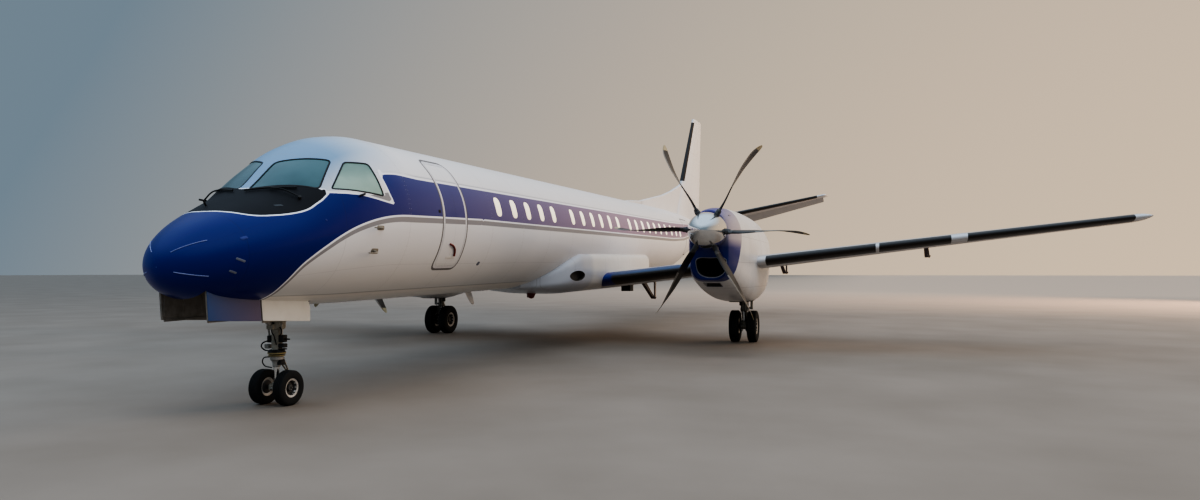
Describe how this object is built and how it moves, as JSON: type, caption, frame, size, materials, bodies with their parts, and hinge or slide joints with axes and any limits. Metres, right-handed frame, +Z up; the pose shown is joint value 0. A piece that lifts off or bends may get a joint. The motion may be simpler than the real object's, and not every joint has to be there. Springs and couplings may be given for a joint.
{
  "type": "twin turboprop airliner",
  "caption": "Low-wing regional airliner with swept six-blade propellers, standing on its wheels, with working control surfaces, flaps and nose steering.",
  "frame": {"origin": "on the ground under the middle of the aircraft's length and span", "axes": "+Z up, the nose points along -Y, the port (left) wing along +X"},
  "size_m": [24.76, 27.2574, 8.0033],
  "materials": {
    "white_paint": "gloss",
    "blue_paint": "gloss",
    "grey_paint": "satin",
    "cockpit_glass": "gloss",
    "engine_steel": "satin",
    "polished_metal": "polished",
    "blade_black": "satin",
    "gear_paint": "satin",
    "tyre_rubber": "matte"
  },
  "bodies": {
    "airframe": {"forward_fuselage": "white_paint", "cabin_fuselage": "white_paint", "aft_fuselage": "white_paint", "passenger_door": "white_paint", "service_door": "white_paint", "cargo_door": "white_paint", "wing_fairing": "white_paint", "nacelle_left": "white_paint", "nacelle_right": "white_paint", "fin": "white_paint", "radome": "blue_paint", "nose_gear_door_left": "blue_paint", "nose_gear_door_right": "blue_paint", "wing_left": "grey_paint", "wing_right": "grey_paint", "tailplane_left": "grey_paint", "tailplane_right": "grey_paint", "windshield_left": "cockpit_glass", "windshield_right": "cockpit_glass", "side_window_left": "cockpit_glass", "side_window_right": "cockpit_glass", "engine_left": "engine_steel", "engine_right": "engine_steel", "nose_leg": "gear_paint", "main_leg_left": "gear_paint", "main_leg_right": "gear_paint"},
    "nose_steering_leg": {"nose_lower_leg": "gear_paint"},
    "nose_wheel_pair": {"nose_wheels": "gear_paint", "nose_tyre_left": "tyre_rubber", "nose_tyre_right": "tyre_rubber"},
    "rudder": {"rudder": "white_paint"},
    "main_wheel_pair_left": {"main_wheels_left": "gear_paint", "main_tyre_inner_left": "tyre_rubber", "main_tyre_outer_left": "tyre_rubber"},
    "propeller_left": {"spinner_left": "polished_metal", "blade_left_1": "blade_black", "blade_left_2": "blade_black", "blade_left_3": "blade_black", "blade_left_4": "blade_black", "blade_left_5": "blade_black", "blade_left_6": "blade_black"},
    "flap_inboard_left": {"flap_inboard_left": "grey_paint"},
    "flap_outboard_left": {"flap_outboard_left": "grey_paint"},
    "aileron_left": {"aileron_left": "grey_paint"},
    "elevator_left": {"elevator_left": "grey_paint"},
    "main_wheel_pair_right": {"main_wheels_right": "gear_paint", "main_tyre_inner_right": "tyre_rubber", "main_tyre_outer_right": "tyre_rubber"},
    "propeller_right": {"spinner_right": "polished_metal", "blade_right_1": "blade_black", "blade_right_2": "blade_black", "blade_right_3": "blade_black", "blade_right_4": "blade_black", "blade_right_5": "blade_black", "blade_right_6": "blade_black"},
    "flap_inboard_right": {"flap_inboard_right": "grey_paint"},
    "flap_outboard_right": {"flap_outboard_right": "grey_paint"},
    "aileron_right": {"aileron_right": "grey_paint"},
    "elevator_right": {"elevator_right": "grey_paint"}
  },
  "joints": [
    {"name": "nose_steering", "type": "hinge", "parent": "airframe", "child": "nose_steering_leg", "pos_m": [0, -11.84, 0.5], "axis": [0, 0, 1], "range_deg": [-60, 60]},
    {"name": "nose_wheel_spin", "type": "hinge", "parent": "nose_steering_leg", "child": "nose_wheel_pair", "pos_m": [0, -11.84, 0.21812], "axis": [1, 0, 0], "continuous": true},
    {"name": "main_wheel_spin_left", "type": "hinge", "parent": "airframe", "child": "main_wheel_pair_left", "pos_m": [4.115, -0.87, 0.37179], "axis": [1, 0, 0], "continuous": true},
    {"name": "main_wheel_spin_right", "type": "hinge", "parent": "airframe", "child": "main_wheel_pair_right", "pos_m": [-4.115, -0.87, 0.37179], "axis": [1, 0, 0], "continuous": true},
    {"name": "propeller_spin_left", "type": "hinge", "parent": "airframe", "child": "propeller_left", "pos_m": [4.058, -4.98032, 2.44917], "axis": [0, 0.9999, 0.0161], "continuous": true},
    {"name": "propeller_spin_right", "type": "hinge", "parent": "airframe", "child": "propeller_right", "pos_m": [-4.058, -4.98032, 2.44917], "axis": [0, 0.9999, 0.0161], "continuous": true},
    {"name": "aileron_left_hinge", "type": "hinge", "parent": "airframe", "child": "aileron_left", "pos_m": [10.35, -0.44938, 2.54147], "axis": [0.993, -0.0184, 0.1166], "range_deg": [-25, 20]},
    {"name": "aileron_right_hinge", "type": "hinge", "parent": "airframe", "child": "aileron_right", "pos_m": [-10.35, -0.44938, 2.54147], "axis": [0.993, 0.0184, -0.1166], "range_deg": [-20, 25]},
    {"name": "elevator_left_hinge", "type": "hinge", "parent": "airframe", "child": "elevator_left", "pos_m": [2.755, 12.42206, 4.13941], "axis": [0.9743, 0.0909, 0.2061], "range_deg": [0, 50]},
    {"name": "elevator_right_hinge", "type": "hinge", "parent": "airframe", "child": "elevator_right", "pos_m": [-2.755, 12.42206, 4.13941], "axis": [0.9743, -0.0909, -0.2061], "range_deg": [0, 50]},
    {"name": "flap_inboard_left_hinge", "type": "hinge", "parent": "airframe", "child": "flap_inboard_left", "pos_m": [1.6995, -0.33838, 0.9999], "axis": [-0.9931, 0.0154, -0.1165], "range_deg": [0, 35]},
    {"name": "flap_inboard_right_hinge", "type": "hinge", "parent": "airframe", "child": "flap_inboard_right", "pos_m": [-1.6995, -0.33838, 0.9999], "axis": [-0.9931, -0.0154, 0.1165], "range_deg": [0, 35]},
    {"name": "flap_outboard_left_hinge", "type": "hinge", "parent": "airframe", "child": "flap_outboard_left", "pos_m": [5.00011, -0.39396, 1.64062], "axis": [-0.9931, 0.0154, -0.1165], "range_deg": [0, 35]},
    {"name": "flap_outboard_right_hinge", "type": "hinge", "parent": "airframe", "child": "flap_outboard_right", "pos_m": [-5.00011, -0.39396, 1.64062], "axis": [-0.9931, -0.0154, 0.1165], "range_deg": [0, 35]},
    {"name": "rudder_hinge", "type": "hinge", "parent": "airframe", "child": "rudder", "pos_m": [0, 12.37278, 5.76328], "axis": [0, 0.3118, 0.9501], "range_deg": [-25, 25]}
  ],
  "couplings": [
    {"joint": "aileron_right_hinge", "follows": "aileron_left_hinge", "ratio": -1},
    {"joint": "elevator_right_hinge", "follows": "elevator_left_hinge", "ratio": 1},
    {"joint": "flap_inboard_right_hinge", "follows": "flap_inboard_left_hinge", "ratio": 1},
    {"joint": "flap_outboard_left_hinge", "follows": "flap_inboard_left_hinge", "ratio": 1},
    {"joint": "flap_outboard_right_hinge", "follows": "flap_inboard_left_hinge", "ratio": 1}
  ]
}
